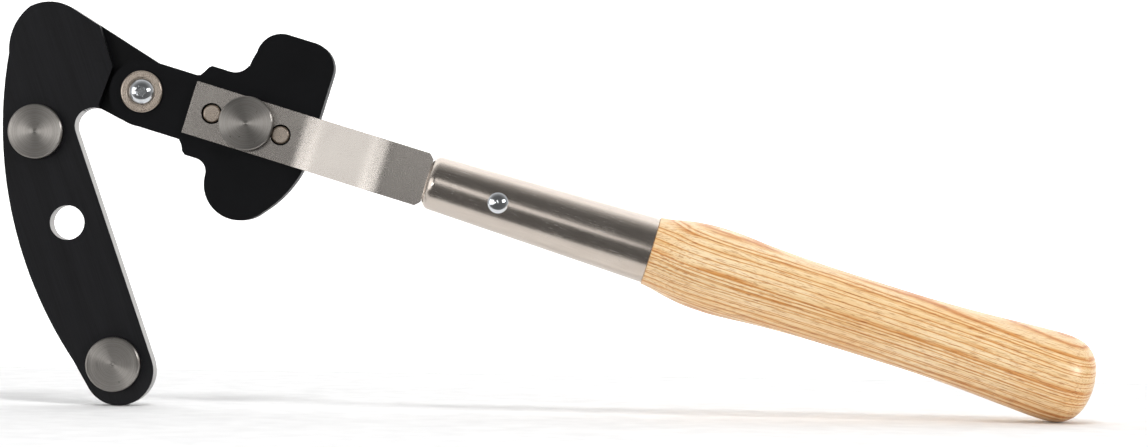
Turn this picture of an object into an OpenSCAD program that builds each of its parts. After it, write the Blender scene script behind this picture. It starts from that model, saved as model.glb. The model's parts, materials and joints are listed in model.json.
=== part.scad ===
// Floor board wrench: a hand lever for drawing strip flooring tight.
// A slanted head plate is held to the subfloor by two pointed anchor pins.
// A cam plate turns on the head's half-lap pivot and carries a cranked steel
// strap, a ferrule and a turned ash handle.
//
// Origin: the pivot axis, level with the underside of both plates.
// +X runs along the handle, +Z rises out of the side with the thumb screws.
// All sizes are millimetres.

/* [Plates] */
// Thickness of the head plate and of the cam plate
plate_t = 12.7; // [9:0.1:20]
// Thickness of the web that is left under the half-lap
web_t = 6.1; // [4:0.1:9]
// Gap between the web and the cam plate's ear
lap_gap = 0.5; // [0.3:0.05:1]
// Angle from the handle axis to the head plate's long axis
head_angle = 54.25; // [45:0.25:75]

/* [Head plate] */
// Distance from the pivot axis to the head's straight inner edge
inner_edge = 40; // [34:0.5:48]
// Distance from the pivot axis to the line of the three holes
hole_line = 59.5; // [54:0.5:66]
// Upper anchor hole, measured along the head from the pivot
upper_at = 2.5; // [0:0.5:8]
// Spacing from the upper anchor hole to the spare hole
spare_pitch = 50.8; // [40:0.1:60]
// Spacing from the spare hole to the lower anchor hole
lower_pitch = 79; // [60:0.5:90]
// Diameter of the spare hole and of the two anchor holes
anchor_hole_d = 18.3; // [14:0.1:20]
// Radius of the convex outer edge
outer_r = 226; // [210:1:240]
// Radius of the round lower end
lower_end_r = 18.4; // [16:0.1:22]
// Radius of the round upper end
upper_end_r = 22.7; // [20:0.1:26]
// Radius of the fillet at the root of the inner edge
root_fillet = 9.8; // [6:0.1:14]

/* [Cam plate] */
// Height of the neck above the pivot axis
neck_up = 17.2; // [15:0.1:19]
// Depth of the neck below the pivot axis
neck_down = 18.2; // [16:0.1:20]
// Distance from the pivot to the cam plate's square far side
cam_reach = 94; // [88:0.5:110]
// Height of the upper lobe above the pivot axis
lobe_up = 52; // [46:0.5:62]
// Radius of the lower lobe
lobe_r = 19.1; // [16:0.1:22]
// Radius that is cut away below the ear so that the web can swing
relief_r = 32; // [30:0.5:34]

/* [Pivot] */
// Outside diameter of the pivot collar
collar_d = 22.2; // [20:0.1:26]
// Diameter of the collar's sleeve, which the lever turns on
sleeve_d = 14; // [12:0.1:15]
// Radial running clearance of the pivot and of the thumb screws
run_gap = 0.03; // [0.01:0.01:0.08]
// Head diameter of the pivot screw
pivot_head_d = 13.9; // [12:0.1:14.2]

/* [Thumb screws] */
// Diameter of the turned head
thumb_d = 29; // [24:0.1:32]
// Thickness of the turned head
thumb_h = 6; // [4:0.1:8]
// Thread diameter of every screw
thread_d = 7.94; // [6:0.01:8.5]

/* [Anchor pins] */
// Diameter of the flange under the plate
anchor_flange_d = 27; // [22:0.1:30]
// Thickness of that flange
anchor_flange_h = 3; // [2:0.1:5]
// Length of the point below the flange
anchor_point = 9; // [6:0.5:14]

/* [Strap] */
// Width of the steel strap
strap_w = 28.5; // [24:0.1:32]
// Thickness of the steel strap
strap_t = 3.2; // [2.5:0.1:5]
// Height the strap is cranked up by
strap_rise = 17.5; // [12:0.5:22]
// Angle of the cranked part
crank_angle = 26; // [18:1:35]
// Distance from the pivot to the strap's square end
strap_start = 26.8; // [25:0.1:30]
// Distance from the pivot to the first dowel
dowel_at = 39.1; // [36:0.1:44]
// Spacing of the two dowels
dowel_pitch = 38.1; // [34:0.1:44]
// Diameter of the dowels
dowel_d = 9.525; // [8:0.005:11]
// Diameter of the dowel holes in the strap
dowel_hole_d = 11.1; // [10:0.1:12]

/* [Handle] */
// Distance from the pivot to the ferrule's nose
ferrule_at = 159.5; // [156:0.5:170]
// Length of the ferrule
ferrule_l = 122.5; // [100:1:140]
// Ferrule diameter behind its nose
ferrule_d1 = 28.6; // [26:0.1:32]
// Ferrule diameter at its mouth
ferrule_d2 = 34.9; // [32:0.1:38]
// Wall of the ferrule
ferrule_wall = 1.2; // [0.8:0.1:2]
// Length of the wooden handle beyond the ferrule
grip_l = 241.7; // [200:0.5:290]
// Factor on the wooden handle's diameters
grip_k = 1; // [0.9:0.01:1.1]

/* [Hidden] */
$fn = 96;
eps = 0.01;

black_front = [0.13, 0.13, 0.14];
black_cam = [0.10, 0.10, 0.11];
nickel = [0.68, 0.64, 0.60];
steel = [0.70, 0.69, 0.67];
bright = [0.82, 0.83, 0.84];
bronze = [0.62, 0.45, 0.25];
ash = [0.96, 0.87, 0.69];

ear_floor = web_t + lap_gap;
spare_at = upper_at + spare_pitch;
lower_at = spare_at + lower_pitch;
collar_seat = plate_t + 0.1;
screw_seat = collar_seat + 1.2;
spigot_top = plate_t - 2;
anchor_spigot_d = anchor_hole_d - 0.1;
strap_top = plate_t + strap_t;
thumb_mid = [dowel_at + dowel_pitch / 2 + 0.35, 0.4];
axis_z = plate_t + strap_t / 2 + strap_rise;
grip_at = ferrule_at + ferrule_l;
tang_w = 16;
tang_end = ferrule_at + 0.72 * ferrule_l;
rivet_at = ferrule_at + 0.32 * ferrule_l;
rivet_d = 6.3;
insert_d = 11.1;

// unit vectors of the lap's two straight flanks, as outward normals
top_n = [cos(74.6), sin(74.6)];
low_n = [cos(258.96), sin(258.96)];
web_c = [-0.2, -0.5];
web_r = 17.96;

function head_xy(u, w) = [u * cos(head_angle) + w * sin(head_angle),
                          -u * sin(head_angle) + w * cos(head_angle)];

// ---- head plate ----

module head_axes() { rotate([0, 0, -head_angle]) children(); }

module slab() { linear_extrude(plate_t) children(); }

// the long curved limb, drawn with x along the head and y across it
module head_limb() {
    far = lower_at + 4.2;
    intersection() {
        translate([lower_at - 67.1, outer_r - inner_edge - 47.3, 0]) cylinder(r = outer_r, h = plate_t, $fn = 360);
        translate([-41.5, -inner_edge - 60, -1]) cube([far + 41.5, 60, plate_t + 2]);
    }
    translate([far, -inner_edge - lower_end_r, 0]) cylinder(r = lower_end_r, h = plate_t, $fn = 180);
    // straight run from the curved edge to the round lower end
    slab() polygon([[far - 19, -inner_edge - 40], [far - 15, -inner_edge - 40],
                    [far + 3.54, -inner_edge - lower_end_r - 18.03],
                    [far, -inner_edge - lower_end_r], [far - 19, -inner_edge - 20]]);
}

// the arm that reaches the pivot, with both its straight flanks
module head_arm() {
    crown = head_xy(-39.3, 1.6 - inner_edge);
    intersection() {
        translate(concat(crown, 0)) cylinder(r = upper_end_r, h = plate_t, $fn = 180);
        translate(concat(head_xy(-34.4, 7.7 - inner_edge), -1)) cylinder(r = 29, h = plate_t + 2, $fn = 180);
    }
    translate(web_c) cylinder(r = web_r, h = plate_t, $fn = 180);
    slab() polygon([crown + upper_end_r * top_n, web_c + web_r * top_n, web_c + web_r * low_n,
                    head_xy(-15.6, -inner_edge - 0.3), head_xy(-19, -inner_edge - 6), crown]);
}

// fillet where the arm's lower flank meets the inner edge
module head_root() {
    // set 0.02 below tangency, so that the arc meets the inner edge in a clean corner
    c = head_xy(9.14, root_fillet - inner_edge - 0.02);
    difference() {
        slab() polygon([head_xy(9.14, -inner_edge - 5), head_xy(-16.6, -inner_edge - 5),
                        head_xy(-15.6, -inner_edge), c - (root_fillet - 0.02) * low_n, c]);
        translate([c[0], c[1], -1]) cylinder(r = root_fillet, h = plate_t + 2, $fn = 120);
    }
}

module head_blank() {
    head_axes() head_limb();
    head_arm();
    head_root();
}

// what the front half-lap removes, on the pivot's side of a three-sided step
module lap_cut() {
    polygon([[-36.2, 33], [-18.8, 8], [-19.9, -12.9], [-20.2, -18], [25, -25], [25, 33]]);
}

module head_plate() {
    color(black_front) difference() {
        head_blank();
        translate([0, 0, web_t]) linear_extrude(plate_t) lap_cut();
        for (u = [upper_at, spare_at, lower_at])
            translate(concat(head_xy(u, -hole_line), -1)) cylinder(d = anchor_hole_d, h = plate_t + 2);
        translate([0, 0, -1]) cylinder(d = insert_d, h = plate_t);
        translate([0, 0, -1]) cylinder(d = 15, h = 2.5);
    }
}

// ---- cam plate ----

module box2(x0, y0, x1, y1) { translate([x0, y0]) square([x1 - x0, y1 - y0]); }

module cam_blank() {
    step = 24.2;
    dip = -25.2;
    lobe_c = [64.1, -50.6 + lobe_r];
    difference() {
        union() {
            // ear and neck
            translate([0.6, (neck_up - neck_down) / 2, 0]) cylinder(d = neck_up + neck_down, h = plate_t, $fn = 180);
            slab() box2(0.6, -neck_down, 40, neck_up);
            // body with the small steps at the neck and the root of the upper lobe
            slab() polygon([[25, 0], [25, 17], [27, 17.8], [28.2, 19.6], [30, 22.9], [31.5, step], [41.5, step],
                            [41.5, 30], [50.4, 30], [50.8, 33.5], [52, lobe_up - 13.5], [65.5, lobe_up - 13.5],
                            [65.5, 28], [cam_reach, 28], [cam_reach, -13], [93, -17.6], [88, -20], [64, -20],
                            [45, -32.3], [38, -30], [37.9, dip], [31.5, dip], [29.6, -23.6], [28.2, -20.6],
                            [26, -18], [25, -18]]);
            // upper lobe
            translate([65.5, lobe_up - 13.5, 0]) cylinder(r = 13.5, h = plate_t, $fn = 180);
            translate([cam_reach - 13.6, lobe_up - 13.6, 0]) cylinder(r = 13.6, h = plate_t, $fn = 180);
            slab() box2(65.5, 20, cam_reach - 13.6, lobe_up);
            slab() box2(70, 20, cam_reach, lobe_up - 13.6);
            // lower lobe
            translate(concat(lobe_c, 0)) cylinder(r = lobe_r, h = plate_t, $fn = 180);
            slab() intersection() {
                translate([34.9, -2.5]) circle(r = 60, $fn = 240);
                polygon([[60, -15], lobe_c, lobe_c + lobe_r * [0.7071, -0.7071], [cam_reach, -50], [cam_reach, -10]]);
            }
        }
        // the two concave shoulders beside the lobes
        translate([41.5, step + 9.3, -1]) cylinder(r = 9.3, h = plate_t + 2, $fn = 120);
        translate([37.9, dip - 7.1, -1]) cylinder(r = 7.1, h = plate_t + 2, $fn = 120);
        // concave roots of the small steps at the neck
        translate([22.6, neck_up + 5.4, -1]) cylinder(r = 5.4, h = plate_t + 2, $fn = 90);
        translate([22, -neck_down - 6.2, -1]) cylinder(r = 6.2, h = plate_t + 2, $fn = 90);
    }
}

module cam_plate() {
    color(black_cam) difference() {
        cam_blank();
        // the rear half is cut back so that the head's web can swing
        translate([0, 0, -1]) cylinder(r = relief_r, h = ear_floor + 1, $fn = 180);
        // liner bore
        translate([0, 0, -1]) cylinder(d = sleeve_d + 3, h = plate_t + 2);
        for (x = [dowel_at, dowel_at + dowel_pitch])
            translate([x, 0, 2]) cylinder(d = dowel_d, h = plate_t);
        translate([thumb_mid[0], thumb_mid[1], 1]) cylinder(d = insert_d, h = plate_t);
    }
}

// ---- pivot ----

module pivot_liner() {
    color(bronze) translate([0, 0, ear_floor]) difference() {
        cylinder(d = sleeve_d + 3, h = plate_t - ear_floor);
        translate([0, 0, -1]) cylinder(d = sleeve_d + 2 * run_gap, h = plate_t);
    }
}

module pivot_thrust_washer() {
    color(bronze) translate([0, 0, web_t]) difference() {
        cylinder(d = 30, h = lap_gap - 0.05);
        translate([0, 0, -1]) cylinder(d = sleeve_d + 0.4, h = 3);
    }
}

module pivot_collar() {
    color(nickel) difference() {
        union() {
            translate([0, 0, web_t]) cylinder(d = sleeve_d, h = collar_seat - web_t + 0.5);
            translate([0, 0, collar_seat]) rotate_extrude($fn = 120)
                polygon([[0, 0], [collar_d / 2 - 0.3, 0], [collar_d / 2, 0.3], [collar_d / 2, 1.7],
                         [collar_d / 2 - 0.6, 2.3], [0, 2.3]]);
        }
        translate([0, 0, web_t - 1]) cylinder(d = thread_d + 0.4, h = plate_t);
        translate([0, 0, screw_seat]) cylinder(d = pivot_head_d + 1.3, h = 5);
    }
}

module pivot_screw() {
    head_h = 4.4;
    cap_r = (pow(pivot_head_d / 2, 2) + pow(head_h - 0.7, 2)) / (2 * (head_h - 0.7));
    color(bright) difference() {
        union() {
            translate([0, 0, 1.9]) cylinder(d = thread_d, h = screw_seat - 1.9 + eps);
            translate([0, 0, screw_seat]) cylinder(d = pivot_head_d, h = 0.7);
            translate([0, 0, screw_seat + 0.7]) intersection() {
                translate([0, 0, head_h - 0.7 - cap_r]) sphere(r = cap_r, $fn = 120);
                cylinder(d = pivot_head_d, h = head_h);
            }
        }
        translate([0, 0, screw_seat + head_h - 2.6]) rotate([0, 0, 8])
            cylinder(d = 4.76 / cos(30), h = 6, $fn = 6);
    }
}

// blind flanged nut, pressed into the web from below
module pivot_nut() {
    color(nickel) difference() {
        union() {
            cylinder(d = 15, h = 1.5);
            cylinder(d = insert_d, h = web_t);
        }
        translate([0, 0, 1.6]) cylinder(d = thread_d, h = web_t);
    }
}

// ---- thumb screws and what they hold ----

// turned head with a centre mark, seated on z = 0, and its threaded shank
module thumb_screw(shank) {
    r = thumb_d / 2;
    color(steel) {
        rotate_extrude($fn = 144)
            polygon([[0, 0], [r - 0.5, 0], [r, 0.5], [r, thumb_h - 0.8], [r - 0.8, thumb_h],
                     [0.9, thumb_h], [0, thumb_h - 0.8]]);
        translate([0, 0, -shank]) cylinder(d = thread_d, h = shank + eps);
    }
}

module anchor_thumb(u) { translate(concat(head_xy(u, -hole_line), plate_t)) thumb_screw(11.5); }

// flanged pin with a spigot in the plate and a turned point below it
module anchor_pin(u) {
    f = anchor_flange_d / 2;
    color(steel) translate(head_xy(u, -hole_line)) difference() {
        union() {
            cylinder(d = anchor_spigot_d, h = spigot_top);
            translate([0, 0, -anchor_flange_h]) rotate_extrude($fn = 120)
                polygon([[0, 0], [f - 0.8, 0], [f, 0.8], [f, anchor_flange_h], [0, anchor_flange_h]]);
            translate([0, 0, -anchor_flange_h - anchor_point])
                cylinder(d1 = 1, d2 = 12, h = anchor_point + eps);
        }
        translate([0, 0, -1]) cylinder(d = thread_d + 2 * run_gap, h = plate_t + 2);
    }
}

// split spring washer between the spigot and the thumb screw's head
module lock_washer(u) {
    color(steel) translate(concat(head_xy(u, -hole_line), spigot_top)) difference() {
        cylinder(d = 14.6, h = plate_t - spigot_top - 0.05);
        translate([0, 0, -1]) cylinder(d = thread_d + 0.6, h = 5);
        rotate([0, 0, 40]) translate([0, -0.6, -1]) square_slot();
    }
}

module square_slot() { cube([10, 1.2, 5]); }

module upper_anchor_pin() { anchor_pin(upper_at); }
module lower_anchor_pin() { anchor_pin(lower_at); }
module upper_lock_washer() { lock_washer(upper_at); }
module lower_lock_washer() { lock_washer(lower_at); }
module upper_thumb_screw() { anchor_thumb(upper_at); }
module lower_thumb_screw() { anchor_thumb(lower_at); }
module strap_thumb_screw() { translate([thumb_mid[0], thumb_mid[1], strap_top]) thumb_screw(strap_t + 9.5); }

module strap_thread_insert() {
    color(nickel) translate([thumb_mid[0], thumb_mid[1], 1]) difference() {
        cylinder(d = insert_d, h = plate_t - 1);
        translate([0, 0, 1]) cylinder(d = thread_d + 2 * run_gap, h = plate_t);
    }
}

module strap_dowels() {
    r = dowel_d / 2;
    color(nickel) for (x = [dowel_at, dowel_at + dowel_pitch])
        translate([x, 0, 2]) rotate_extrude($fn = 96)
            polygon([[0, 0], [r - 0.4, 0], [r, 0.4], [r, strap_top - 2.9], [r - 0.7, strap_top - 2.2], [0, strap_top - 2.2]]);
}

// ---- strap ----

function arc_pts(c, r, a0, a1, n = 10) =
    [for (i = [0 : n]) c + r * [cos(a0 + (a1 - a0) * i / n), sin(a0 + (a1 - a0) * i / n)]];

// the strap's side view, x along the handle and y up: two bends of one angle
module strap_profile() {
    a = crank_angle;
    r1 = 40;
    r2 = 40;
    x1 = 85;
    // length of the sloping flat that makes up the rest of the rise
    slope = (strap_rise - (r1 + r2) * (1 - cos(a))) / sin(a);
    x2 = x1 + (r1 + r2) * sin(a) + slope * cos(a);
    c1 = [x1, plate_t + strap_t / 2 + r1];
    c2 = [x2, axis_z - r2];
    h = strap_t / 2;
    polygon(concat([[strap_start, plate_t]],
                   arc_pts(c1, r1 + h, -90, -90 + a), arc_pts(c2, r2 - h, 90 + a, 90),
                   [[tang_end, axis_z - h], [tang_end, axis_z + h]],
                   arc_pts(c2, r2 + h, 90, 90 + a), arc_pts(c1, r1 - h, -90 + a, -90),
                   [[strap_start, strap_top]]));
}

module handle_strap() {
    body_end = ferrule_at - 0.1;
    c = 2.6;
    color(steel) difference() {
        rotate([90, 0, 0]) translate([0, 0, -strap_w / 2]) linear_extrude(strap_w) strap_profile();
        // the shoulders and the narrower tang
        for (s = [-1, 1]) {
            translate([body_end, s * (tang_w / 2 + 20) - 20, plate_t]) cube([200, 40, 60]);
            translate([0, 0, plate_t]) linear_extrude(60)
                polygon([[body_end - c - 1, s * (strap_w / 2 + 1)], [body_end + 1, s * (strap_w / 2 - c - 1)],
                         [body_end + 5, s * (strap_w / 2 + 5)], [body_end - c - 1, s * (strap_w / 2 + 5)]]);
        }
        for (x = [dowel_at, dowel_at + dowel_pitch])
            translate([x, 0, plate_t - 1]) cylinder(d = dowel_hole_d, h = strap_t + 2);
        translate([thumb_mid[0], thumb_mid[1], plate_t - 1]) cylinder(d = thread_d + 0.9, h = strap_t + 2);
        translate([rivet_at, 0, plate_t]) cylinder(d = rivet_d, h = 60);
    }
}

// ---- ferrule and handle ----

module about_handle_axis() { translate([0, 0, axis_z]) rotate([0, 90, 0]) children(); }

function ferrule_r(x) = (ferrule_d1 + (ferrule_d2 - ferrule_d1) * (x - ferrule_at - 5) / (ferrule_l - 5)) / 2;

// outer shape of the ferrule: a domed nose, then a slow taper to the mouth
module ferrule_skin(cut = 0) {
    r = ferrule_d1 / 2;
    nose = [[0, 0], [r - 4.9, 0], [r - 2.9, 0.5], [r - 1.4, 1.5], [r - 0.5, 3], [r, 5]];
    about_handle_axis() translate([0, 0, ferrule_at]) rotate_extrude($fn = 144)
        polygon(concat([for (p = nose) [max(p[0] - cut, 0), p[1] + cut]],
                       [[ferrule_d2 / 2 - cut, ferrule_l + (cut > 0 ? 1 : 0)], [0, ferrule_l + (cut > 0 ? 1 : 0)]]));
}

module ferrule() {
    color(nickel) difference() {
        ferrule_skin();
        ferrule_skin(ferrule_wall);
        translate([ferrule_at - 5, -tang_w / 2, axis_z - strap_t / 2]) cube([20, tang_w, strap_t]);
        translate([rivet_at, 0, axis_z - 40]) cylinder(d = rivet_d, h = 80);
    }
}

// domed rivet through ferrule, wood and tang
module ferrule_rivet() {
    seat = ferrule_r(rivet_at);
    color(bright) difference() {
        union() {
            translate([rivet_at, 0, axis_z - seat]) cylinder(d = rivet_d, h = 2 * seat);
            for (s = [0, 1]) translate([rivet_at, 0, axis_z]) mirror([0, 0, s])
                intersection() {
                    translate([0, 0, seat + 2.6 - 7.2]) sphere(r = 7.2, $fn = 96);
                    translate([0, 0, seat - 2]) cylinder(d = 10.8, h = 6);
                }
        }
        difference() {
            ferrule_skin();
            translate([rivet_at, 0, axis_z - 40]) cylinder(d = rivet_d, h = 80);
        }
    }
}

// radii of the wooden handle at fractions of its length beyond the ferrule
grip_shape = [[0, 18.15], [0.022, 18.9], [0.067, 21.15], [0.105, 22.3], [0.153, 22.65], [0.2, 22.1], [0.247, 21.2],
              [0.3, 20.5], [0.361, 20.05], [0.45, 19.8], [0.537, 19.8], [0.61, 19.9], [0.665, 20.25],
              [0.725, 20.85], [0.785, 21.7], [0.847, 22.65], [0.88, 23.1], [0.905, 23.3], [0.928, 23.1],
              [0.949, 22.2], [0.966, 20.2], [0.979, 17.4], [0.989, 13.6], [0.996, 8.4], [0.999, 4], [1, 0]];

module handle_grip() {
    plug = ferrule_l - 8;
    color(ash) difference() {
        about_handle_axis() union() {
            translate([0, 0, grip_at]) rotate_extrude($fn = 144)
                polygon(concat([[0, 0]], [for (p = grip_shape) [p[1] * grip_k, p[0] * grip_l]]));
            translate([0, 0, grip_at - plug])
                cylinder(r1 = ferrule_r(grip_at - plug) - ferrule_wall - 0.15,
                         r2 = ferrule_d2 / 2 - ferrule_wall - 0.15, h = plug + eps, $fn = 144);
        }
        translate([ferrule_at, -tang_w / 2, axis_z - strap_t / 2]) cube([tang_end - ferrule_at + 0.3, tang_w, strap_t]);
        translate([rivet_at, 0, axis_z - 40]) cylinder(d = rivet_d, h = 80);
    }
}

head_plate();
cam_plate();
pivot_screw();
pivot_collar();
pivot_liner();
pivot_thrust_washer();
pivot_nut();
upper_anchor_pin();
lower_anchor_pin();
upper_lock_washer();
lower_lock_washer();
upper_thumb_screw();
lower_thumb_screw();
strap_thumb_screw();
strap_thread_insert();
strap_dowels();
handle_strap();
ferrule();
ferrule_rivet();
handle_grip();
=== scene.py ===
# %% [markdown]
# # Floor board wrench
# A hand lever that draws strip flooring tight: a black anodised head plate, a cam plate on a
# half-lap pivot, a cranked steel strap, a nickel ferrule and an ash handle.
# The CAD frame is loaded first, because every piece below takes its place and its size from it.

# %% Load the frame
import json
import math

import bmesh
import bpy
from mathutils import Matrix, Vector


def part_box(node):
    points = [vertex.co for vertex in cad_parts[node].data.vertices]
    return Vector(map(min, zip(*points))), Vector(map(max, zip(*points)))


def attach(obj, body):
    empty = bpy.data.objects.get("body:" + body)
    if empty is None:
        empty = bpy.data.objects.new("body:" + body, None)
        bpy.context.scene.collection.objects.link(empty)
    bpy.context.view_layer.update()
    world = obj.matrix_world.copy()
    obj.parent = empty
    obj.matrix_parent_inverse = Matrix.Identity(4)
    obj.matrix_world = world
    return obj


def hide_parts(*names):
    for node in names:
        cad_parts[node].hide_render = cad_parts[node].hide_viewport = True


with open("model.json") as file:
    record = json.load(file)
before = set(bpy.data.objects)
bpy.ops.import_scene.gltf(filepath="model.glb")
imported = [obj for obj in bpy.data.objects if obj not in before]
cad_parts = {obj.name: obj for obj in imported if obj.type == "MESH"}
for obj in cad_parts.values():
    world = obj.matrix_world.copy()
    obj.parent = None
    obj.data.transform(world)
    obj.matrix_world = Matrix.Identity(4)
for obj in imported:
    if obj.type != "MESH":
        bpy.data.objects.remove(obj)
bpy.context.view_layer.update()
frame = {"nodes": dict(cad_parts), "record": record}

MM = 0.001

# %% [markdown]
# ## Camera
# A long lens a metre and a half in front of the plates keeps the perspective almost flat, and
# still shows a sliver of each wall. The camera looks straight at the broad face and is rolled
# a little, because the tool stands on its tip and on the butt of its handle.

# %% Camera
ROLL = math.radians(17.35)
RIGHT = Vector((math.cos(ROLL), math.sin(ROLL), 0))
UP = Vector((-math.sin(ROLL), math.cos(ROLL), 0))
OUT = Vector((0, 0, 1))
AIM = Vector((239.4, 1.6, 0)) * MM

scene = bpy.context.scene
camera_data = bpy.data.cameras.new("studio_camera")
camera_data.lens = 85.8
camera_data.sensor_width = 36
camera_data.clip_start, camera_data.clip_end = 0.05, 60
camera = bpy.data.objects.new("studio_camera", camera_data)
camera.location = AIM + OUT * 1462.7 * MM
camera.rotation_euler = (0, 0, ROLL)
scene.collection.objects.link(camera)
scene.camera = camera
scene.view_settings.view_transform = "Standard"
print("camera at", [round(c, 4) for c in camera.location])


# %% [markdown]
# ## Two small helpers for materials
# A colour picked from a screen is sRGB, and a shader wants linear light, so one function turns
# every hex value. Another adds a node with its settings and its links in one line.

# %% Colour and node helpers
def linear(hex_colour):
    values = [int(hex_colour[i:i + 2], 16) / 255 for i in (1, 3, 5)]
    return (*[c / 12.92 if c <= 0.04045 else ((c + 0.055) / 1.055) ** 2.4 for c in values], 1.0)


def add(tree, kind, settings=None, links=None):
    node = tree.nodes.new(kind)
    for key, value in (settings or {}).items():
        if isinstance(key, int) or key in node.inputs:
            node.inputs[key].default_value = value
        else:
            setattr(node, key, value)
    for key, socket in (links or {}).items():
        tree.links.new(socket, node.inputs[key])
    return node


def finish(name, **shader):
    """A new material, its node tree and its shader, with uniform values set on the shader itself."""
    material = bpy.data.materials.new(name)
    material.use_nodes = True
    tree = material.node_tree
    bsdf = tree.nodes["Principled BSDF"]
    for key, value in shader.items():
        bsdf.inputs[key.replace("_", " ")].default_value = value
    return material, tree, bsdf


def stops(ramp, *pairs):
    """Sets the stops of a colour ramp from (position, colour) pairs."""
    elements = ramp.color_ramp.elements
    while len(elements) < len(pairs):
        elements.new(0.5)
    for element, (position, colour) in zip(elements, pairs):
        element.position = position
        element.color = colour if len(colour) == 4 else (*colour, 1)
    return ramp


def grey(value):
    return (value, value, value, 1)


print("white in linear light:", linear("#FFFFFF"))

# %% [markdown]
# ## Black anodised aluminium, brushed
# The head plate's faces are brushed along its length and then anodised black. Brushing leaves
# parallel scratches a few tenths of a millimetre apart, so a noise is stretched forty to one
# along the plate. The scratches move the roughness and the bump, and hardly the colour.

# %% Brushed black anodising
HEAD_ANGLE = math.radians(54.25)


def brushed_black(name, base, light, rough):
    material, tree, bsdf = finish(name, Metallic=0.0, Specular_IOR_Level=0.2)
    place = add(tree, "ShaderNodeTexCoord")
    turn = add(tree, "ShaderNodeMapping", {"vector_type": "TEXTURE", "Rotation": (0, 0, -HEAD_ANGLE)},
               {"Vector": place.outputs["Object"]})
    stretch = add(tree, "ShaderNodeMapping", {"Scale": (28, 1900, 1900)}, {"Vector": turn.outputs[0]})
    scratches = add(tree, "ShaderNodeTexNoise", {"Scale": 1.0, "Detail": 4.0, "Roughness": 0.65},
                    {"Vector": stretch.outputs[0]})
    wide = add(tree, "ShaderNodeMapping", {"Scale": (9, 160, 160)}, {"Vector": turn.outputs[0]})
    bands = add(tree, "ShaderNodeTexNoise", {"Scale": 1.0, "Detail": 2.0}, {"Vector": wide.outputs[0]})
    both = add(tree, "ShaderNodeMix", {"data_type": "FLOAT", "Factor": 0.3},
               {2: scratches.outputs["Fac"], 3: bands.outputs["Fac"]})
    colour = stops(add(tree, "ShaderNodeValToRGB", {}, {"Fac": both.outputs[0]}),
                   (0.36, linear(base)), (0.66, linear(light)))
    tree.links.new(colour.outputs["Color"], bsdf.inputs["Base Color"])
    dull = add(tree, "ShaderNodeMapRange",
               {"From Min": 0.35, "From Max": 0.65, "To Min": rough - 0.05, "To Max": rough + 0.08},
               {"Value": both.outputs[0]})
    tree.links.new(dull.outputs[0], bsdf.inputs["Roughness"])
    bump = add(tree, "ShaderNodeBump", {"Strength": 0.25, "Distance": 0.00004},
               {"Height": scratches.outputs["Fac"]})
    tree.links.new(bump.outputs[0], bsdf.inputs["Normal"])
    return material


black_brushed = brushed_black("black_anodised_aluminium_brushed", "#0D0D0F", "#1A1A1D", 0.44)
# the lap's copy is the same finish in a darker black: painted shade for the recessed lap
black_lap_painted_shade = brushed_black("black_anodised_aluminium_milled_painted_shade", "#040405", "#08080A", 0.55)
print("made", black_brushed.name, "and", black_lap_painted_shade.name)


# %% [markdown]
# ## Black anodised aluminium, blasted
# The cam plate is bead blasted before it is anodised, so it has a fine even tooth and no
# direction. A grain of about a quarter of a millimetre is as fine as the picture can show.

# %% Blasted black anodising
def blasted_black():
    material, tree, bsdf = finish("black_anodised_aluminium_blasted", Metallic=0.0, Roughness=0.5,
                                  Specular_IOR_Level=0.12)
    place = add(tree, "ShaderNodeTexCoord")
    grit = add(tree, "ShaderNodeTexNoise", {"Scale": 2600.0, "Detail": 3.0, "Roughness": 0.6},
               {"Vector": place.outputs["Object"]})
    cloud = add(tree, "ShaderNodeTexNoise", {"Scale": 38.0, "Detail": 3.0},
                {"Vector": place.outputs["Object"]})
    both = add(tree, "ShaderNodeMix", {"data_type": "FLOAT", "Factor": 0.3},
               {2: grit.outputs["Fac"], 3: cloud.outputs["Fac"]})
    colour = stops(add(tree, "ShaderNodeValToRGB", {}, {"Fac": both.outputs[0]}),
                   (0.35, linear("#0A0A0C")), (0.68, linear("#111214")))
    tree.links.new(colour.outputs["Color"], bsdf.inputs["Base Color"])
    dull = add(tree, "ShaderNodeMapRange",
               {"From Min": 0.3, "From Max": 0.7, "To Min": 0.44, "To Max": 0.58},
               {"Value": both.outputs[0]})
    tree.links.new(dull.outputs[0], bsdf.inputs["Roughness"])
    bump = add(tree, "ShaderNodeBump", {"Strength": 0.35, "Distance": 0.00005},
               {"Height": grit.outputs["Fac"]})
    tree.links.new(bump.outputs[0], bsdf.inputs["Normal"])
    return material


black_blasted = blasted_black()
print("made", black_blasted.name)


# %% [markdown]
# ## Machined aluminium
# The head's outline and holes are cut after anodising, which leaves bright walls with fine
# lines that run round the plate, at right angles to its thickness.

# %% Machined aluminium walls
def machined_walls():
    material, tree, bsdf = finish("machined_aluminium", Metallic=1.0, Roughness=0.36)
    place = add(tree, "ShaderNodeTexCoord")
    stretch = add(tree, "ShaderNodeMapping", {"Scale": (90, 90, 2600)}, {"Vector": place.outputs["Object"]})
    lines = add(tree, "ShaderNodeTexNoise", {"Scale": 1.0, "Detail": 4.0, "Roughness": 0.7},
                {"Vector": stretch.outputs[0]})
    colour = stops(add(tree, "ShaderNodeValToRGB", {}, {"Fac": lines.outputs["Fac"]}),
                   (0.3, linear("#8E8C8B")), (0.7, linear("#B4B2B0")))
    tree.links.new(colour.outputs["Color"], bsdf.inputs["Base Color"])
    dull = add(tree, "ShaderNodeMapRange",
               {"From Min": 0.3, "From Max": 0.7, "To Min": 0.42, "To Max": 0.56},
               {"Value": lines.outputs["Fac"]})
    tree.links.new(dull.outputs[0], bsdf.inputs["Roughness"])
    bump = add(tree, "ShaderNodeBump", {"Strength": 0.3, "Distance": 0.00003},
               {"Height": lines.outputs["Fac"]})
    tree.links.new(bump.outputs[0], bsdf.inputs["Normal"])
    return material


bright_walls = machined_walls()
print("made", bright_walls.name)


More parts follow.
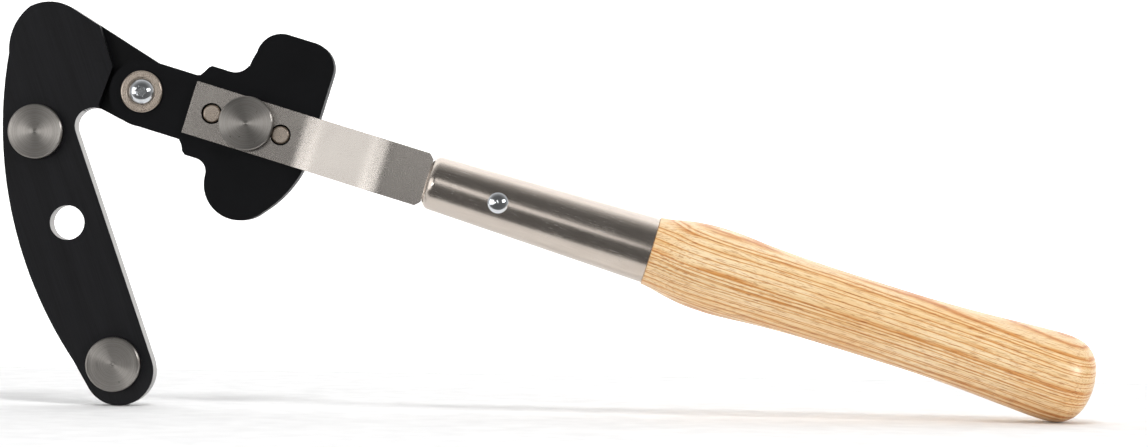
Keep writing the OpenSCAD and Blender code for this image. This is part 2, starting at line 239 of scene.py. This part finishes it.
# %% [markdown]
# ## Turned stainless steel
# A lathe leaves rings round the centre. Light then gathers in rays from the middle of the disc,
# because each ring is smooth along its length and rough across it. The shader's tangent points
# away from the disc's axis, so that the rough direction crosses the rings. Dings are specks of
# a second noise. Each screw has its own centre, so each gets its own copy of the finish.

# %% Turned stainless steel
def turned_steel(name, centre, seed):
    material, tree, bsdf = finish(name, Metallic=1.0, Roughness=0.36, Anisotropic=0.78)
    place = add(tree, "ShaderNodeTexCoord")
    away = add(tree, "ShaderNodeVectorMath", {"operation": "SUBTRACT", 1: tuple(centre)},
               {0: place.outputs["Object"]})
    flat = add(tree, "ShaderNodeVectorMath", {"operation": "MULTIPLY", 1: (1, 1, 0)}, {0: away.outputs[0]})
    radius = add(tree, "ShaderNodeVectorMath", {"operation": "LENGTH"}, {0: flat.outputs[0]})
    tangent = add(tree, "ShaderNodeVectorMath", {"operation": "NORMALIZE"}, {0: flat.outputs[0]})
    tree.links.new(tangent.outputs[0], bsdf.inputs["Tangent"])
    rings = add(tree, "ShaderNodeTexNoise",
                {"noise_dimensions": "1D", "Scale": 3400.0, "Detail": 3.0, "Roughness": 0.7},
                {"W": radius.outputs["Value"]})
    broad = add(tree, "ShaderNodeTexNoise", {"noise_dimensions": "1D", "Scale": 420.0, "Detail": 2.0},
                {"W": radius.outputs["Value"]})
    specks = add(tree, "ShaderNodeTexNoise",
                 {"noise_dimensions": "4D", "W": seed, "Scale": 330.0, "Detail": 2.0},
                 {"Vector": place.outputs["Object"]})
    ding = stops(add(tree, "ShaderNodeValToRGB", {}, {"Fac": specks.outputs["Fac"]}),
                 (0.69, grey(1.0)), (0.74, grey(0.32)))
    colour = stops(add(tree, "ShaderNodeValToRGB", {}, {"Fac": rings.outputs["Fac"]}),
                   (0.3, linear("#7C7874")), (0.7, linear("#ABA7A2")))
    tint = add(tree, "ShaderNodeMix", {"data_type": "RGBA", "blend_type": "MULTIPLY", "Factor": 1.0},
               {6: colour.outputs["Color"], 7: ding.outputs["Color"]})
    tree.links.new(tint.outputs[2], bsdf.inputs["Base Color"])
    dull = add(tree, "ShaderNodeMapRange",
               {"From Min": 0.3, "From Max": 0.7, "To Min": 0.29, "To Max": 0.43},
               {"Value": broad.outputs["Fac"]})
    tree.links.new(dull.outputs[0], bsdf.inputs["Roughness"])
    bump = add(tree, "ShaderNodeBump", {"Strength": 0.3, "Distance": 0.00003},
               {"Height": rings.outputs["Fac"]})
    tree.links.new(bump.outputs[0], bsdf.inputs["Normal"])
    return material


# %% [markdown]
# ## Nickel plate, satin stainless strip, polished steel, bronze and oiled steel
# These metals differ in colour and in how their surface was left. Nickel is warm and nearly
# polished, with faint marks along the tube. The strap is a blasted stainless strip with a
# fine grain. Rivet and screw heads are polished. Bronze and oiled steel are hidden inside.

# %% Other metals
def metal(name, dark, light, rough, stretch, scale, bump_strength, spread=0.05, contrast=(0.32, 0.68)):
    material, tree, bsdf = finish(name, Metallic=1.0, Roughness=rough)
    place = add(tree, "ShaderNodeTexCoord")
    drawn = add(tree, "ShaderNodeMapping", {"Scale": stretch}, {"Vector": place.outputs["Object"]})
    grain = add(tree, "ShaderNodeTexNoise", {"Scale": scale, "Detail": 4.0, "Roughness": 0.65},
                {"Vector": drawn.outputs[0]})
    cloud = add(tree, "ShaderNodeTexNoise", {"Scale": 60.0, "Detail": 3.0},
                {"Vector": place.outputs["Object"]})
    both = add(tree, "ShaderNodeMix", {"data_type": "FLOAT", "Factor": 0.25},
               {2: grain.outputs["Fac"], 3: cloud.outputs["Fac"]})
    colour = stops(add(tree, "ShaderNodeValToRGB", {}, {"Fac": both.outputs[0]}),
                   (contrast[0], linear(dark)), (contrast[1], linear(light)))
    tree.links.new(colour.outputs["Color"], bsdf.inputs["Base Color"])
    dull = add(tree, "ShaderNodeMapRange",
               {"From Min": 0.3, "From Max": 0.7, "To Min": rough - spread, "To Max": rough + spread},
               {"Value": both.outputs[0]})
    tree.links.new(dull.outputs[0], bsdf.inputs["Roughness"])
    bump = add(tree, "ShaderNodeBump", {"Strength": bump_strength, "Distance": 0.00003},
               {"Height": grain.outputs["Fac"]})
    tree.links.new(bump.outputs[0], bsdf.inputs["Normal"])
    return material


satin_strip = metal("stainless_strip_blasted", "#A09A95", "#C2BCB5", 0.27, (1, 1, 1), 2600.0, 0.16,
                    spread=0.03, contrast=(0.28, 0.72))
nickel_tube = metal("nickel_plated_tube", "#C4B9AF", "#DDD3C9", 0.24, (0.03, 1, 1), 2400.0, 0.12)
nickel_small = metal("nickel_plated_steel", "#BBAC9D", "#D2C5B8", 0.28, (1, 1, 1), 3800.0, 0.1)
polished = metal("polished_steel", "#D0D3D7", "#ECEFF2", 0.14, (1, 1, 1), 2600.0, 0.05, spread=0.03)
bronze = metal("bearing_bronze", "#8A6535", "#B58A50", 0.34, (1, 1, 1), 900.0, 0.2)
oiled = metal("oiled_tool_steel", "#4C4B4B", "#77767A", 0.32, (1, 1, 1), 900.0, 0.25)
print("made 6 metals")


# %% [markdown]
# ## Lacquered ash
# Ash has wide pale latewood and narrow tan lines of open pores, one each year. The handle is
# turned from a straight billet, so the year rings are almost flat sheets that run its whole
# length. The distance from a far-off pith line gives the sheets. A slow sway, a short wobble and
# a run of good and bad years keep them from being even. Another stretched noise draws the pores
# as short dashes along the grain.

# %% Lacquered ash
RING = 2.35 * MM
AXIS_Z = 31.8 * MM


def lacquered_ash():
    material, tree, bsdf = finish("lacquered_ash", Roughness=0.36, Coat_Weight=0.35, Coat_Roughness=0.22)
    place = add(tree, "ShaderNodeTexCoord")
    lean = add(tree, "ShaderNodeMapping",
               {"Location": (0, 0.150, -AXIS_Z + 0.035), "Rotation": (0, 0, math.radians(1.2))},
               {"Vector": place.outputs["Object"]})
    long_noise = add(tree, "ShaderNodeMapping", {"Scale": (3.5, 26, 26)},
                     {"Vector": place.outputs["Object"]})
    sway = add(tree, "ShaderNodeTexNoise", {"Scale": 1.0, "Detail": 3.0, "Roughness": 0.55},
               {"Vector": long_noise.outputs[0]})
    across = add(tree, "ShaderNodeVectorMath", {"operation": "MULTIPLY", 1: (0, 1, 1)},
                 {0: lean.outputs[0]})
    pith = add(tree, "ShaderNodeVectorMath", {"operation": "LENGTH"}, {0: across.outputs[0]})
    years = add(tree, "ShaderNodeMath", {"operation": "MULTIPLY", 1: 1 / RING}, {0: pith.outputs["Value"]})
    swayed = add(tree, "ShaderNodeMath", {"operation": "MULTIPLY_ADD", 1: 1.3},
                 {0: sway.outputs["Fac"], 2: years.outputs[0]})
    short_noise = add(tree, "ShaderNodeMapping", {"Scale": (16, 170, 170)},
                      {"Vector": place.outputs["Object"]})
    wobble = add(tree, "ShaderNodeTexNoise", {"Scale": 1.0, "Detail": 3.0, "Roughness": 0.6},
                 {"Vector": short_noise.outputs[0]})
    wobbled = add(tree, "ShaderNodeMath", {"operation": "MULTIPLY_ADD", 1: 0.9},
                  {0: wobble.outputs["Fac"], 2: swayed.outputs[0]})
    good_years = add(tree, "ShaderNodeTexNoise", {"noise_dimensions": "1D", "Scale": 0.55, "Detail": 2.0},
                     {"W": years.outputs[0]})
    sway_years = add(tree, "ShaderNodeMath", {"operation": "MULTIPLY_ADD", 1: 2.2},
                     {0: good_years.outputs["Fac"], 2: wobbled.outputs[0]})
    phase = add(tree, "ShaderNodeMath", {"operation": "FRACT"}, {0: sway_years.outputs[0]})
    year_colour = stops(add(tree, "ShaderNodeValToRGB", {}, {"Fac": phase.outputs[0]}),
                        (0.0, linear("#DEA25C")), (0.16, linear("#F4DBAE")), (0.45, linear("#FBE8C6")),
                        (0.7, linear("#F3D4A2")), (0.9, linear("#D28F42")), (1.0, linear("#DEA25C")))
    fine = add(tree, "ShaderNodeMapping", {"Scale": (150, 1900, 1900)}, {"Vector": place.outputs["Object"]})
    pores = add(tree, "ShaderNodeTexNoise", {"Scale": 1.0, "Detail": 3.0, "Roughness": 0.6},
                {"Vector": fine.outputs[0]})
    dashes = stops(add(tree, "ShaderNodeValToRGB", {}, {"Fac": pores.outputs["Fac"]}),
                   (0.33, linear("#BE8748")), (0.5, linear("#FFFFFF")))
    broad = add(tree, "ShaderNodeTexNoise", {"Scale": 14.0, "Detail": 2.0},
                {"Vector": place.outputs["Object"]})
    tone = stops(add(tree, "ShaderNodeValToRGB", {}, {"Fac": broad.outputs["Fac"]}),
                 (0.35, linear("#F4E4CE")), (0.65, linear("#FFFFFF")))
    streaked = add(tree, "ShaderNodeMix", {"data_type": "RGBA", "blend_type": "MULTIPLY", "Factor": 0.7},
                   {6: year_colour.outputs["Color"], 7: dashes.outputs["Color"]})
    toned = add(tree, "ShaderNodeMix", {"data_type": "RGBA", "blend_type": "MULTIPLY", "Factor": 1.0},
                {6: streaked.outputs[2], 7: tone.outputs["Color"]})
    tree.links.new(toned.outputs[2], bsdf.inputs["Base Color"])
    height = add(tree, "ShaderNodeMath", {"operation": "MULTIPLY"},
                 {0: phase.outputs[0], 1: pores.outputs["Fac"]})
    bump = add(tree, "ShaderNodeBump", {"Strength": 0.22, "Distance": 0.00008},
               {"Height": height.outputs[0]})
    tree.links.new(bump.outputs[0], bsdf.inputs["Normal"])
    return material


ash = lacquered_ash()
print("made", ash.name, "with a year ring every", RING / MM, "mm")

# %% [markdown]
# ## From CAD solids to finished meshes
# A CAD node is a loose set of triangles and is never altered. A copy has its doubles merged
# and its flat faces joined. Then every crisp corner gets a small bevel, since no real edge is
# perfectly sharp and the bevel is what catches the light.

# %% Copy a CAD node and break its edges
BODY_OF = {node: body for body, nodes in frame["record"]["behaviour"]["bodies"].items() for node in nodes}


def place_piece(obj, *nodes):
    """Rides a finished piece on the body of the CAD nodes it stands for."""
    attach(obj, BODY_OF[nodes[0]])
    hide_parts(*nodes)
    return obj


def bake(obj):
    """Turns an object's modifiers into a plain mesh."""
    shape = bpy.data.meshes.new_from_object(obj.evaluated_get(bpy.context.evaluated_depsgraph_get()))
    obj.modifiers.clear()
    obj.data = shape
    return obj


def smooth_shade(mesh, angle=32):
    mesh.shade_smooth()
    mesh.set_sharp_from_angle(angle=math.radians(angle))


def machined_copy(node, materials, edge=0.3, pick=None, angle=32):
    source = frame["nodes"][node].data
    mesh = bpy.data.meshes.new(node + "_finished")
    mesh.from_pydata([v.co[:] for v in source.vertices], [], [p.vertices[:] for p in source.polygons])
    for material in materials:
        mesh.materials.append(material)
    shape = bmesh.new()
    shape.from_mesh(mesh)
    bmesh.ops.remove_doubles(shape, verts=shape.verts, dist=4e-6)
    bmesh.ops.dissolve_limit(shape, angle_limit=math.radians(0.3), verts=shape.verts, edges=shape.edges)
    if pick:
        for face in shape.faces:
            face.material_index = pick(face.normal, face.calc_center_median() / MM)
    shape.to_mesh(mesh)
    shape.free()
    smooth_shade(mesh, angle)
    obj = bpy.data.objects.new(node + "_finished", mesh)
    scene.collection.objects.link(obj)
    if edge:
        bevel = obj.modifiers.new("edge_break", "BEVEL")
        bevel.width, bevel.segments, bevel.limit_method = edge * MM, 2, "ANGLE"
        bevel.angle_limit = math.radians(40)
        bevel.use_clamp_overlap = True
        bevel.harden_normals = True
        bake(obj)
    place_piece(obj, node)
    print(node, "has", len(obj.data.polygons), "faces")
    return obj


# %% [markdown]
# ## The two black plates
# On the head plate a face's direction and height pick its finish: broad faces are brushed, the
# lap's floor and flanks are milled and painted a darker black, which is painted shade for the
# recessed lap, and the outline's walls are machined bright. The cam plate is one finish all over.

# %% Head plate and cam plate
# the lap is where the plate is milled to half its thickness round the pivot, in millimetres
LAP_LEVEL = (5, 8)
LAP_X, LAP_Y, LAP_Z = (-37.5, -14), (-19, 34), 6.2


def head_face(normal, at):
    """The slot of a face: 0 for brushed faces, 1 for the milled lap with its painted shade, 2 for the machined
    outline.
    """
    if abs(normal.z) > 0.7:
        return 1 if LAP_LEVEL[0] < at.z < LAP_LEVEL[1] else 0
    in_lap = LAP_X[0] < at.x < LAP_X[1] and LAP_Y[0] < at.y < LAP_Y[1] and at.z > LAP_Z
    return 1 if in_lap and normal.x > 0.3 else 2


head = machined_copy("head_plate", [black_brushed, black_lap_painted_shade, bright_walls], 0.25, head_face)
machined_copy("cam_plate", [black_blasted], 0.25)

# %% [markdown]
# ## Strap and dowels
# The strap is sheared from strip and bent twice, so its long edges stay fairly crisp.

# %% Strap, dowels and the pieces round them
machined_copy("handle_strap", [satin_strip], 0.2)
machined_copy("strap_dowels", [nickel_small], 0.12)
machined_copy("strap_thread_insert", [nickel_small], 0.1)


# %% [markdown]
# ## Turned pieces
# Anything that came off a lathe is a profile spun round an axis. Writing the profile as a list
# of radius and height keeps the shape readable, and a fine step keeps the rim round.

# %% Spin a profile
def spun(name, profile, centre, axis, material, steps=128, angle=32):
    """Spins (radius, height) pairs in millimetres round an axis through centre, in metres."""
    axis = Vector(axis).normalized()
    side = axis.orthogonal().normalized()
    other = axis.cross(side)
    shape = bmesh.new()
    rings = []
    for radius, height in profile:
        middle = Vector(centre) + axis * height * MM
        if radius < 1e-6:
            rings.append([shape.verts.new(middle)])
        else:
            rings.append([shape.verts.new(middle + (side * math.cos(a) + other * math.sin(a)) * radius * MM)
                          for a in (2 * math.pi * i / steps for i in range(steps))])
    for low, high in zip(rings, rings[1:]):
        for i in range(steps):
            j = (i + 1) % steps
            corners = [low[i % len(low)], low[j % len(low)], high[j % len(high)], high[i % len(high)]]
            unique = list(dict.fromkeys(corners))
            if len(unique) > 2:
                shape.faces.new(unique)
    bmesh.ops.recalc_face_normals(shape, faces=shape.faces)
    mesh = bpy.data.meshes.new(name)
    shape.to_mesh(mesh)
    shape.free()
    mesh.materials.append(material)
    smooth_shade(mesh, angle)
    obj = bpy.data.objects.new(name, mesh)
    scene.collection.objects.link(obj)
    return obj


def arc(cx, cy, r, start, end, n=8):
    return [(cx + r * math.cos(math.radians(start + (end - start) * i / n)),
             cy + r * math.sin(math.radians(start + (end - start) * i / n))) for i in range(n + 1)]


# %% [markdown]
# ## Straight knurl
# A knurling tool presses about ninety ridges into each thumb screw's rim. One ridge is a bar of
# four sides, standing on a point of a circle with an edge outwards. Geometry Nodes repeat it,
# and the result is made a plain mesh.

# %% Geometry Nodes tree for the knurl
def knurl_tree(material):
    tree = bpy.data.node_groups.new("straight_knurl", "GeometryNodeTree")
    sockets = {}
    for name, kind, value in (("Ridges", "NodeSocketInt", 90), ("Rim radius", "NodeSocketFloat", 0.014),
                              ("Ridge size", "NodeSocketFloat", 0.0005), ("Ridge length", "NodeSocketFloat", 0.004),
                              ("Centre", "NodeSocketVector", (0, 0, 0))):
        socket = tree.interface.new_socket(name, in_out="INPUT", socket_type=kind)
        socket.default_value = value
        sockets[name] = socket.identifier
    tree.interface.new_socket("Geometry", in_out="OUTPUT", socket_type="NodeSocketGeometry")
    given = add(tree, "NodeGroupInput").outputs
    ring = add(tree, "GeometryNodeMeshCircle", {},
               {"Vertices": given["Ridges"], "Radius": given["Rim radius"]})
    ridge = add(tree, "GeometryNodeMeshCylinder", {"Vertices": 4},
                {"Radius": given["Ridge size"], "Depth": given["Ridge length"]})
    spot = add(tree, "GeometryNodeInputPosition")
    facing = add(tree, "FunctionNodeAlignRotationToVector", {"axis": "X"}, {"Vector": spot.outputs[0]})
    bars = add(tree, "GeometryNodeInstanceOnPoints", {},
               {"Points": ring.outputs["Mesh"], "Instance": ridge.outputs["Mesh"], "Rotation": facing.outputs[0]})
    moved = add(tree, "GeometryNodeTransform", {},
                {"Geometry": bars.outputs[0], "Translation": given["Centre"]})
    real = add(tree, "GeometryNodeRealizeInstances", {}, {"Geometry": moved.outputs[0]})
    painted = add(tree, "GeometryNodeSetMaterial", {"Material": material}, {"Geometry": real.outputs[0]})
    add(tree, "NodeGroupOutput", {}, {0: painted.outputs[0]})
    return tree, sockets


def knurl(name, node, material, **sizes):
    tree, sockets = knurl_tree(material)
    obj = bpy.data.objects.new(name, bpy.data.meshes.new(name))
    scene.collection.objects.link(obj)
    ridges = obj.modifiers.new("knurl", "NODES")
    ridges.node_group = tree
    for key, value in sizes.items():
        ridges[sockets[key.replace("_", " ")]] = value
    bake(obj)
    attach(obj, BODY_OF[node])
    print(name, "has", len(obj.data.polygons), "faces")
    return obj


# %% [markdown]
# ## Thumb screws
# Each head is faced and chamfered on the lathe and has a drilled centre mark. The shank below
# is a plain rod with shallow thread rings, drawn as a row of small ridges.

# %% Three thumb screws
THUMB_R, THUMB_H, THREAD_R, PITCH = 14.5, 6.0, 3.97, 1.41


def thumb_screw(node, seed):
    low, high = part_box(node)
    centre = Vector(((low.x + high.x) / 2, (low.y + high.y) / 2, high.z - THUMB_H * MM))
    shank = (centre.z - low.z) / MM
    steel = turned_steel("turned_stainless_" + node, centre, seed)
    crests = max(2, int((shank - 1.0) / PITCH))
    thread = [(0, -shank), (THREAD_R - 0.6, -shank)]
    for i in range(crests):
        base = -shank + 0.2 + i * PITCH
        thread += [(THREAD_R - 0.5, base + 0.1), (THREAD_R, base + PITCH * 0.45),
                   (THREAD_R, base + PITCH * 0.6), (THREAD_R - 0.5, base + PITCH - 0.05)]
    r = THUMB_R - 0.32
    head_profile = [(THREAD_R - 0.5, -0.02), (THREAD_R, 0), (THUMB_R - 1.0, 0), (r, 0.6), (r, THUMB_H - 0.95),
                    (THUMB_R - 0.06, THUMB_H - 0.86), (THUMB_R - 0.14, THUMB_H - 0.62),
                    (THUMB_R - 0.66, THUMB_H - 0.08),
                    (THUMB_R - 0.82, THUMB_H), (0.95, THUMB_H), (0.8, THUMB_H - 0.12), (0, THUMB_H - 0.9)]
    obj = spun(node + "_finished", thread + head_profile, centre, (0, 0, 1), steel, 144, 20)
    place_piece(obj, node)
    knurl(node + "_knurl", node, steel, Ridges=90, Rim_radius=(THUMB_R - 0.48) * MM, Ridge_size=0.46 * MM,
          Ridge_length=(THUMB_H - 1.7) * MM,
          Centre=(centre.x, centre.y, centre.z + (THUMB_H - 0.25) / 2 * MM))
    return centre


for number, node in enumerate(("upper_thumb_screw", "lower_thumb_screw", "strap_thumb_screw")):
    spot = thumb_screw(node, number * 7.3 + 1.7)
    print(node, "turns about", [round(c / MM, 2) for c in spot])

# %% [markdown]
# ## Pivot
# The collar is a plated cup with a button-head screw in it. Its CAD solid already has the hex
# socket and the chamfers, so a copy with broken edges is enough.

# %% Pivot pieces
machined_copy("pivot_collar", [nickel_small], 0.22)
machined_copy("pivot_screw", [polished], 0.15)
machined_copy("pivot_nut", [nickel_small], 0.15)
machined_copy("pivot_liner", [bronze], 0.05)
machined_copy("pivot_thrust_washer", [bronze], 0.05)

# %% [markdown]
# ## Anchor pins and lock washers
# They sit under the plate. Hard steel, blackened with oil.

# %% Anchor pins
for node in ("upper_anchor_pin", "lower_anchor_pin"):
    machined_copy(node, [oiled], 0.15)
for node in ("upper_lock_washer", "lower_lock_washer"):
    machined_copy(node, [oiled], 0.08)

# %% [markdown]
# ## Ferrule
# A drawn tube with a domed nose and a slight taper. The nose is a round of about five
# millimetres, spun finely, because a polished dome shows every flat.

# %% Ferrule and rivet
FERRULE_AT, FERRULE_END = (round(corner.x / MM, 2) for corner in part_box("ferrule"))
FERRULE_L = FERRULE_END - FERRULE_AT
NOSE_R, NOSE_TUBE_R, MOUTH_R = 5.0, 14.3, 17.45
nose = [(0, 0.0), (9.0, 0.0)] + arc(NOSE_TUBE_R - NOSE_R, NOSE_R, NOSE_R, -90, 0, 14)
wall = [(NOSE_TUBE_R + (MOUTH_R - NOSE_TUBE_R) * t, NOSE_R + (FERRULE_L - NOSE_R) * t)
        for t in (0.25, 0.5, 0.75, 0.985)]
mouth = [(MOUTH_R - 0.05, FERRULE_L - 0.35), (MOUTH_R - 0.35, FERRULE_L - 0.02),
         (MOUTH_R - 1.15, FERRULE_L), (MOUTH_R - 1.2, FERRULE_L - 3)]
inside = [(MOUTH_R - 1.3, FERRULE_L - 8), (NOSE_TUBE_R - 1.2, 7), (8.5, 1.4), (0, 1.4)]
ferrule = spun("ferrule_finished", nose + wall + mouth + inside, (FERRULE_AT * MM, 0, AXIS_Z), (1, 0, 0),
               nickel_tube, 160, 35)
place_piece(ferrule, "ferrule")
machined_copy("ferrule_rivet", [polished], 0.1)

# %% [markdown]
# ## Ash handle
# The turner follows a pattern: a swell behind the ferrule, a long waist and a full butt. The
# pattern's radii are joined with a smooth curve, so the wood has no ridges.

# %% Handle
GRIP_AT = FERRULE_END
GRIP_L = round(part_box("handle_grip")[1].x / MM, 2) - GRIP_AT
GRIP = [(0, 18.15), (0.022, 18.9), (0.067, 21.15), (0.105, 22.3), (0.153, 22.65), (0.2, 22.1), (0.247, 21.2),
        (0.3, 20.5), (0.361, 20.05), (0.45, 19.8), (0.537, 19.8), (0.61, 19.9), (0.665, 20.25),
        (0.725, 20.85), (0.785, 21.7), (0.847, 22.65), (0.88, 23.1), (0.905, 23.3), (0.928, 23.1),
        (0.949, 22.2), (0.966, 20.2), (0.979, 17.4), (0.989, 13.6), (0.996, 8.4), (0.999, 4), (1, 0)]


def smooth_pattern(points, cuts=6):
    """A curve through the pattern's points, with each stretch cut into short steps."""
    out = []
    for i in range(len(points) - 1):
        a, b = points[i], points[i + 1]
        before, after = points[max(i - 1, 0)], points[min(i + 2, len(points) - 1)]
        for step in range(cuts):
            t = step / cuts
            out.append(tuple(0.5 * (2 * a[k] + (b[k] - before[k]) * t
                                    + (2 * before[k] - 5 * a[k] + 4 * b[k] - after[k]) * t * t
                                    + (3 * a[k] - before[k] - 3 * b[k] + after[k]) * t ** 3) for k in (0, 1)))
    return out + [points[-1]]


pattern = [(r, f * GRIP_L) for f, r in smooth_pattern(GRIP)]
plug = [(0, -114), (12.3, -114), (15.8, -0.6), (17.6, -0.02)]
handle = spun("handle_grip_finished", plug + pattern, (GRIP_AT * MM, 0, AXIS_Z), (1, 0, 0), ash, 144, 50)
place_piece(handle, "handle_grip")
print("ferrule from", FERRULE_AT, "to", FERRULE_END, "mm; the wood shows for", round(GRIP_L, 2), "mm")
print("handle radii in mm, largest:", round(max(r for r, _ in pattern), 2))

# %% [markdown]
# ## Stage and light
# The tool stands on a pale sweep: a floor under its tip and butt that curves up into a
# backdrop. The papers are one-sided, so a camera behind or below them still sees the tool.
# The front strip of the floor is hidden from reflections, so the metal sees a dark gap there.

# %% Floor and backdrop
def lowest(piece, lean):
    """How far down a piece reaches along the upright of a floor that leans by an angle from the x axis."""
    return min(v.co.y * math.cos(lean) - v.co.x * math.sin(lean) for v in piece.data.vertices)


# the floor touches the head's tip and the handle's butt: halve the range of angles until both rest on it
steep, shallow = ROLL, ROLL - math.radians(6)
for _ in range(30):
    lean = (steep + shallow) / 2
    if lowest(head, lean) > lowest(handle, lean):
        steep = lean
    else:
        shallow = lean
floor_level = lowest(head, lean) - 0.0001
ALONG = Vector((math.cos(lean), math.sin(lean), 0))
UPRIGHT = Vector((-math.sin(lean), math.cos(lean), 0))
print("floor leans", round(math.degrees(lean), 2), "degrees; tip and butt at",
      round(lowest(head, lean) / MM, 2), round(lowest(handle, lean) / MM, 2))


def at(right, up, out):
    return ALONG * right + UPRIGHT * up + OUT * out


def pale_paper(name, tint, glow):
    material, tree, bsdf = finish(name, Roughness=0.9, Specular_IOR_Level=0.1, Emission_Color=linear("#FFFFFF"),
                                  Emission_Strength=glow)
    place = add(tree, "ShaderNodeTexCoord")
    fibre = add(tree, "ShaderNodeTexNoise", {"Scale": 60.0, "Detail": 2.0},
                {"Vector": place.outputs["Object"]})
    tone = stops(add(tree, "ShaderNodeValToRGB", {}, {"Fac": fibre.outputs["Fac"]}),
                 (0.3, linear(tint)), (0.7, linear("#F2F2F2")))
    tree.links.new(tone.outputs["Color"], bsdf.inputs["Base Color"])
    clear = add(tree, "ShaderNodeBsdfTransparent")
    side = add(tree, "ShaderNodeNewGeometry")
    one_sided = add(tree, "ShaderNodeMixShader", {},
                    {0: side.outputs["Backfacing"], 1: bsdf.outputs[0], 2: clear.outputs[0]})
    tree.links.new(one_sided.outputs[0], tree.nodes["Material Output"].inputs["Surface"])
    return material


HALF_WIDTH = 4
FLOOR_FRONT, FLOOR_EDGE, FLOOR_BACK = 0.6, 0.11, -0.35
COVE_R, COVE_STEPS = 0.45, 16


def paper_sheet(name, section, paper):
    """A sheet as wide as the stage, whose section is a list of (up, out) in metres."""
    mesh = bpy.data.meshes.new(name)
    corners = [at(x, up, out) for up, out in section for x in (-HALF_WIDTH, HALF_WIDTH)]
    mesh.from_pydata(corners, [], [(2 * i, 2 * i + 1, 2 * i + 3, 2 * i + 2) for i in range(len(section) - 1)])
    mesh.materials.append(paper)
    smooth_shade(mesh, 40)
    sheet = bpy.data.objects.new(name, mesh)
    scene.collection.objects.link(sheet)
    return sheet


floor_paper = pale_paper("pale_paper", "#EAEAEA", 0.0)
back_paper = pale_paper("pale_paper_backdrop", "#F0F0F0", 0.6)
cove = [(floor_level + COVE_R - COVE_R * math.cos(a), FLOOR_BACK - COVE_R * math.sin(a))
        for a in (math.pi / 2 * i / COVE_STEPS for i in range(COVE_STEPS + 1))]
sweep = paper_sheet("paper_floor", [(floor_level, FLOOR_EDGE), (floor_level, FLOOR_BACK)], floor_paper)
paper_sheet("paper_backdrop", cove + [(4.0, FLOOR_BACK - COVE_R)], back_paper)
apron = paper_sheet("paper_apron", [(floor_level, FLOOR_FRONT), (floor_level, FLOOR_EDGE)], floor_paper)
apron.visible_glossy = False
print("floor at", round(floor_level / MM, 1), "mm along the upright; it faces",
      [round(c, 2) for c in sweep.data.polygons[0].normal])


# %% [markdown]
# ## Lights
# A wide box over and behind the tool draws the upper edge of the bright tube. A narrow one near
# the camera gives the tube its thin middle line, and the space round it stays dark. A box and a
# strip on the left light the strap's slope and its bends, and a small one on the right the butt.
# The key casts the shadows on the floor and is hidden from reflections.

# %% Lights
def soft_box(name, position, target, size, power):
    data = bpy.data.lights.new(name, "AREA")
    data.shape, data.size, data.size_y, data.energy = "RECTANGLE", size[0], size[1], power
    lamp = bpy.data.objects.new(name, data)
    lamp.location = position
    lamp.rotation_euler = (Vector(target) - Vector(position)).to_track_quat("-Z", "Y").to_euler()
    scene.collection.objects.link(lamp)
    return lamp


middle = at(0.22, 0.0, 0.0)
soft_box("top_box", at(0.1, 1.35, -0.8), middle, (4.0, 1.6), 8.5)
soft_box("front_box", at(0.04, 0.42, 2.2), middle, (0.34, 1.0), 1.7)
soft_box("left_box", at(-1.6, 0.2, 1.2), middle, (1.5, 1.7), 12)
soft_box("left_strip", at(-0.95, 0.1, 1.95), middle, (0.16, 0.9), 3.6)
soft_box("right_box", at(1.9, 0.6, 1.5), middle, (0.6, 0.8), 18)
key = soft_box("key_box", at(0.3, 1.5, 0.75), middle, (0.5, 0.4), 12)
key.visible_glossy = False

world = bpy.data.worlds.new("soft_surround")
scene.world = world
world.use_nodes = True
sky = world.node_tree
back = sky.nodes["Background"]
place = add(sky, "ShaderNodeTexCoord")
split = add(sky, "ShaderNodeSeparateXYZ", {}, {0: place.outputs["Generated"]})
shade = stops(add(sky, "ShaderNodeValToRGB", {}, {0: split.outputs["Z"]}),
              (0.0, grey(0.55)), (0.25, grey(0.28)), (0.5, grey(0.13)), (1.0, grey(0.11)))
sky.links.new(shade.outputs["Color"], back.inputs["Color"])
back.inputs["Strength"].default_value = 1.0
